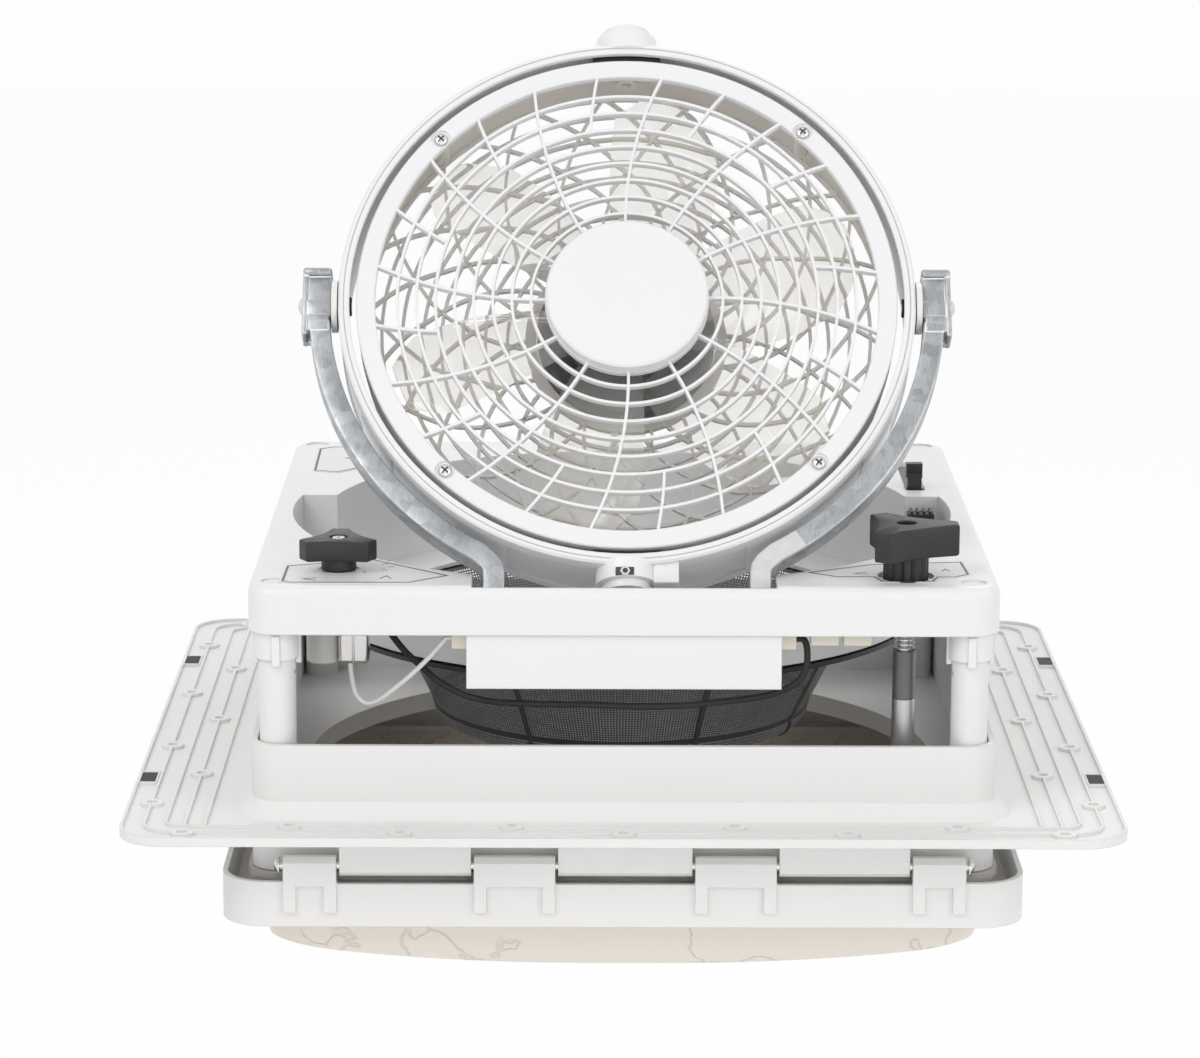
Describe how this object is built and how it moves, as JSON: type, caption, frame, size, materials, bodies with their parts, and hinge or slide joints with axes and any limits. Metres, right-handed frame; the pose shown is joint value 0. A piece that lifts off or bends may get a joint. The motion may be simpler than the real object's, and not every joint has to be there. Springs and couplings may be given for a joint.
{
  "type": "roof vent fan",
  "caption": "Roof vent with a square flanged base, hinged lid, screened opening and a round fan head in a ring on a folding yoke, worked by two knobs.",
  "frame": {"origin": "centre of the flange's bedding face, the plane of its rib tops, on the middle of the square collar", "axes": "+Z out of the bedding face into the cabin, up as pictured; +X to the right; the lid's and the yoke's hinges are on the -Y side"},
  "size_m": [0.475, 0.436, 0.4471],
  "materials": {
    "white_plastic": "satin",
    "cream_plastic": "satin",
    "black_plastic": "satin",
    "cast_metal": "satin",
    "clear_plastic": "clear",
    "screen_mesh": "matte",
    "foam": "matte",
    "steel": "satin",
    "zinc": "satin",
    "black_metal": "satin",
    "board": "satin",
    "connector": "satin",
    "label": "satin",
    "black_rubber": "matte",
    "white_cable": "matte"
  },
  "bodies": {
    "base": {"roof_flange_base": "white_plastic", "flange_pads": "black_rubber", "lift_guide": "zinc", "hinge_pin": "steel", "trim_tray": "white_plastic", "yoke_hinge_box": "white_plastic", "circuit_board": "board", "board_connectors": "connector", "control_labels": "label", "speed_switch_body": "steel", "insect_screen": "screen_mesh", "screen_retainer": "white_plastic", "motor_cable": "black_rubber", "switch_wire": "white_cable"},
    "lid": {"lid_frame": "white_plastic", "lid_dome": "cream_plastic", "lid_seal": "foam", "lid_bracket": "zinc"},
    "lift_shaft": {"lift_knob": "black_plastic", "lift_screw": "steel", "lift_sleeve": "black_plastic", "lift_tube": "zinc"},
    "lift_rod": {"lift_rod": "zinc", "lift_pin": "steel"},
    "speed_knob": {"speed_knob": "black_plastic", "speed_knob_screw": "steel", "speed_switch_shaft": "steel"},
    "mode_lever": {"mode_lever": "black_plastic"},
    "stow_latch": {"stow_latch": "black_plastic"},
    "yoke": {"yoke_arm_left": "cast_metal", "yoke_arm_right": "cast_metal", "yoke_hinge_shaft": "steel"},
    "ring": {"gimbal_ring": "white_plastic", "tilt_washers": "white_plastic", "tilt_pivot_screws": "steel", "tilt_pivot_nuts": "black_plastic", "swivel_pivot_screws": "steel", "swivel_bushes": "black_rubber"},
    "head": {"front_grille": "white_plastic", "hub_cap": "white_plastic", "grille_screws": "steel", "fan_housing": "white_plastic", "rear_grille": "white_plastic", "motor_can": "black_metal", "motor_end_cap": "black_metal", "motor_screws": "steel"},
    "rotor": {"motor_shaft": "steel", "fan_blades": "clear_plastic", "blade_nut": "steel"}
  },
  "joints": [
    {"name": "lid_open", "type": "hinge", "parent": "base", "child": "lid", "pos_m": [0, -0.188, -0.0223], "axis": [-1, 0, 0], "range_deg": [0, 50]},
    {"name": "lift_knob_turn", "type": "hinge", "parent": "base", "child": "lift_shaft", "pos_m": [0.134, -0.153, 0.1], "axis": [0, 0, 1], "range_deg": [-5, 1085]},
    {"name": "lift_rod_slide", "type": "slide", "parent": "base", "child": "lift_rod", "axis": [0, 0, -1], "range_m": [-0.0001, 0.0461]},
    {"name": "speed_knob_turn", "type": "hinge", "parent": "base", "child": "speed_knob", "pos_m": [-0.1363, -0.141, 0.1], "axis": [0, 0, 1], "range_deg": [0, 270]},
    {"name": "mode_lever_slide", "type": "slide", "parent": "base", "child": "mode_lever", "axis": [0, 1, 0], "range_m": [0, 0.05]},
    {"name": "stow_latch_slide", "type": "slide", "parent": "base", "child": "stow_latch", "axis": [0, 1, 0], "range_m": [0, 0.005], "stiffness_N_per_m": 200},
    {"name": "yoke_fold", "type": "hinge", "parent": "base", "child": "yoke", "pos_m": [0, -0.165, 0.096], "axis": [1, 0, 0], "range_deg": [-54.6, 20.4]},
    {"name": "ring_tilt", "type": "hinge", "parent": "yoke", "child": "ring", "pos_m": [0.0014, -0.07214, 0.22667], "axis": [1, 0, 0], "range_deg": [0, 60]},
    {"name": "head_swivel", "type": "hinge", "parent": "ring", "child": "head", "pos_m": [0.0014, -0.07214, 0.22667], "axis": [0, 0.5793, 0.8151], "range_deg": [0, 35]},
    {"name": "blade_spin", "type": "hinge", "parent": "head", "child": "rotor", "pos_m": [0.0014, -0.07214, 0.22667], "axis": [0, -0.8151, 0.5793], "continuous": true}
  ],
  "couplings": [
    {"joint": "lift_knob_turn", "follows": "lid_open", "ratio": 21.6},
    {"joint": "lift_rod_slide", "follows": "lid_open", "m_per_rad": 0.052712}
  ]
}
